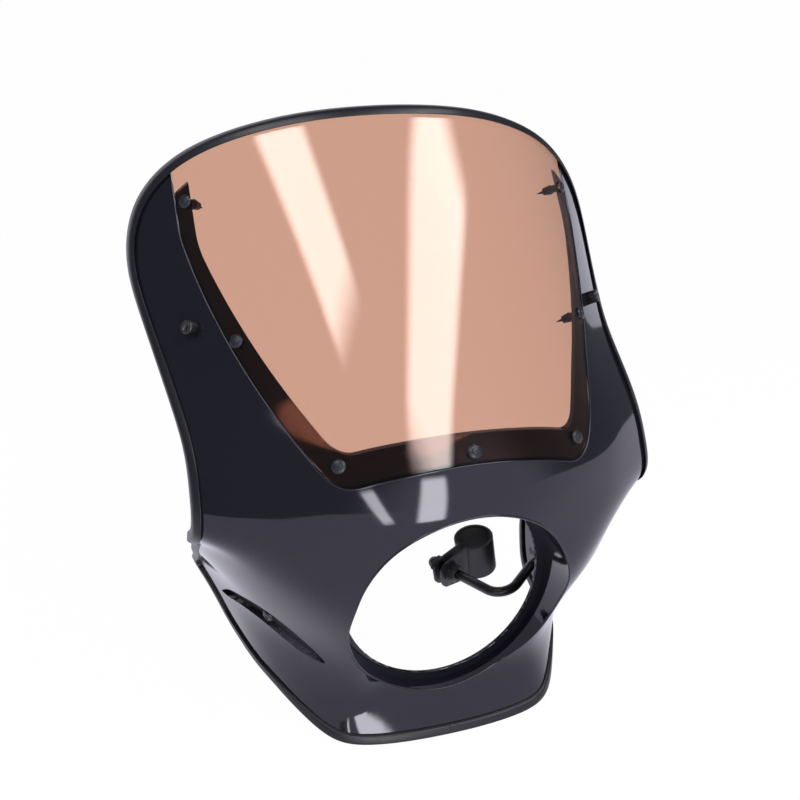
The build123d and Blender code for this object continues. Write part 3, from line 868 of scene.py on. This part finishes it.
# %% The rivets
RIVET_BODY = [
    (1.6, 0.0), (2.6, 0.0), (3.4, -0.22), (3.9, -0.42), (4.5, -0.75), (4.85, -1.05), (5.0, -1.4),
    (5.0, -2.0), (3.0, -2.02), (3.0, -10.75), (3.9, -12.25), (2.9, -18.25), (1.6, -18.25),
]
RIVET_PIN = [
    (0.02, 0.0), (1.2, -0.05), (1.95, -0.16), (2.25, -0.3), (2.5, -0.7), (2.6, -1.0),
    (1.5, -1.02), (1.5, -18.3), (0.8, -22.0), (0.05, -25.3),
]
set_copies("screen_rivet_bodies_dressed", "screen_rivet_bodies", lathe("rivet_body", RIVET_BODY))
set_copies("screen_rivet_pins_dressed", "screen_rivet_pins", lathe("rivet_pin", RIVET_PIN))

# %% [markdown]
# The photograph is taken from the front left and a little above, with a white background. The camera
# stands where the object's outline and opening match the picture.

# %% The camera
CAMERA_PLACE = Vector((-284.2, -635.5, 425.1)) * MM
CAMERA_RIGHT = Vector((0.937, -0.347, 0.037)).normalized()
CAMERA_UP = Vector((0.099, 0.366, 0.925)).normalized()
LENS = 49.58
SENSOR = 36.0
NEAREST = 10 * MM

camera = add_object("camera", bpy.data.cameras.new("camera"))
camera.data.lens = LENS
camera.data.sensor_width = SENSOR
camera.data.clip_start = NEAREST
back = CAMERA_RIGHT.cross(CAMERA_UP).normalized()
up = back.cross(CAMERA_RIGHT)
camera_turn = Matrix((CAMERA_RIGHT, up, back)).transposed().to_4x4()
camera.matrix_world = Matrix.Translation(CAMERA_PLACE) @ camera_turn
scene.camera = camera
print("camera at", [round(value, 3) for value in CAMERA_PLACE])

# %% [markdown]
# Black gloss shows the room it stands in. Its reflections in the photograph tell where the light is:
# white paper below, a pale wall behind the cowl and another in front of it, to the right of the camera,
# dim sides, and two long softboxes overhead. So the room is one dim level with two soft patches, each
# the share of a direction that points its way.

# %% The room
ROOM_LEVEL = 0.15
FRONT_WALL = (0.34, -0.94, 0.0)
BACK_WALL = (0.0, 1.0, 0.0)
PATCH_EDGE = (0.6, 0.92)
COOL_WHITE = (0.93, 0.92, 1.06, 1.0)
room = Finish(bpy.data.worlds.new("room"))
scene.world = room.owner
compass = room.node("ShaderNodeTexCoord")


def wall_patch(towards):
    settings = {"operation": "DOT_PRODUCT"}
    facing = room.node("ShaderNodeVectorMath", settings, {0: compass.outputs["Generated"], 1: towards})
    edge = {"Value": facing.outputs["Value"], "From Min": PATCH_EDGE[0], "From Max": PATCH_EDGE[1]}
    made = room.node("ShaderNodeMapRange", {"interpolation_type": "SMOOTHSTEP"}, edge)
    return Value(room, made.outputs[0])


room_light = ROOM_LEVEL + (1 - ROOM_LEVEL) * (wall_patch(FRONT_WALL) + wall_patch(BACK_WALL))
backdrop = room.tree.nodes["Background"]
backdrop.inputs["Color"].default_value = COOL_WHITE
room.fill(backdrop.inputs["Strength"], room_light)
print("room level", ROOM_LEVEL, "with a wall in front and one behind")

# %% [markdown]
# The softboxes draw the pale stripes down the screen and over the brow. Where they hang was worked out
# backwards: a ray from the camera to a stripe's edge, reflected at the screen, meets the softbox. A
# real softbox fades towards its rim, so its light is masked by a soft-edged rectangle.

# %% The softboxes
SOFTBOX_HEIGHT = 1.3
SOFT_RIM = 0.2
# centre x and y, width, length, turn of the long side from the y axis in degrees, brightness
SOFTBOXES = {
    "softbox_left": (-0.78, -0.31, 0.5, 0.95, 14.5, 10.0),
    "softbox_right": (0.44, -0.68, 0.54, 1.9, -46.5, 10.0),
}


def rise(light, place):
    settings = {"interpolation_type": "SMOOTHSTEP"}
    made = light.node("ShaderNodeMapRange", settings, {"Value": place, "From Max": SOFT_RIM})
    return Value(light, made.outputs[0])


def soft_edge(light, place):
    # rises from 0 at one rim to 1 and falls to 0 at the other
    return rise(light, place) * rise(light, 1 - place)


def softbox(name, place, width, length, brightness):
    lamp = bpy.data.lights.new(name, "AREA")
    lamp.shape = "RECTANGLE"
    lamp.size = width
    lamp.size_y = length
    lamp.energy = brightness * math.pi * width * length
    light = Finish(lamp)
    spot = light.node("ShaderNodeNewGeometry")
    sides = light.node("ShaderNodeSeparateXYZ", None, {"Vector": spot.outputs["Parametric"]})
    across, down = [soft_edge(light, Value(light, sides.outputs[axis])) for axis in "XY"]
    light.fill(light.tree.nodes["Emission"].inputs["Strength"], across * down)
    piece = add_object(name, lamp)
    piece.location = place
    return piece


for name, (x, y, width, length, turn, brightness) in SOFTBOXES.items():
    box = softbox(name, (x, y, SOFTBOX_HEIGHT), width, length, brightness)
    box.rotation_euler.z = math.radians(turn)
    print("hung", name, "at", (x, y))

# two upright strips in front, which draw the bright marks on the brow: place, width, height, brightness
STRIPS = {
    "strip_middle": ((0.0, -1.25, 0.2), 0.36, 0.9, 12.0),
    "strip_left": ((-0.5, -1.12, 0.16), 0.1, 0.7, 10.0),
}
for name, (place, width, height, brightness) in STRIPS.items():
    strip = softbox(name, place, width, height, brightness)
    aim = Vector((0.0, 0.0, place[2])) - strip.location
    strip.rotation_euler = aim.to_track_quat("-Z", "Z").to_euler()
    print("stood", name, "at", place)

# %% [markdown]
# The paper is white to the camera, and to the glass and gloss that show it, whatever light falls on it.
# A small share of its own shading is kept, so that the cowl still throws a shadow on it. Only the gloss
# sees it in the room's cool white.

# %% The paper
FLOOR_DROP = 4 * MM
FLOOR_SIZE = 90.0
PAPER_GLOW = 0.985
WHITE = (1.0, 1.0, 1.0, 1.0)
# where a Mix node takes its two colours and gives the result
COLOUR_A, COLOUR_B, COLOUR_OUT = 6, 7, 2
floor_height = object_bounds()[0][2] - FLOOR_DROP
bpy.ops.mesh.primitive_plane_add(size=FLOOR_SIZE, location=(0, 0, floor_height))
floor = bpy.context.object
floor.name = "floor"
paper = finish("paper", (0.9, 0.9, 0.9), 0.9)
light_path = paper.node("ShaderNodeLightPath")
kinds = ("Camera", "Glossy", "Transmission")
to_camera, to_gloss, to_glass = [Value(paper, light_path.outputs[f"Is {kind} Ray"]) for kind in kinds]
any_ray = to_camera + to_gloss + to_glass
seen = any_ray.math("MINIMUM", any_ray, 1.0) * PAPER_GLOW
tones = {0: to_gloss * (1 - to_glass), COLOUR_A: WHITE, COLOUR_B: COOL_WHITE}
tone = paper.node("ShaderNodeMix", {"data_type": "RGBA"}, tones)
glow = paper.node("ShaderNodeEmission", None, {"Color": tone.outputs[COLOUR_OUT], "Strength": 1.0})
shaders = {0: seen, 1: paper.shader.outputs[0], 2: glow.outputs[0]}
blend = paper.node("ShaderNodeMixShader", None, shaders)
paper.fill(paper.tree.nodes["Material Output"].inputs["Surface"], blend.outputs[0])
floor.data.materials.append(paper.owner)
print("paper laid at", round(floor_height, 4))
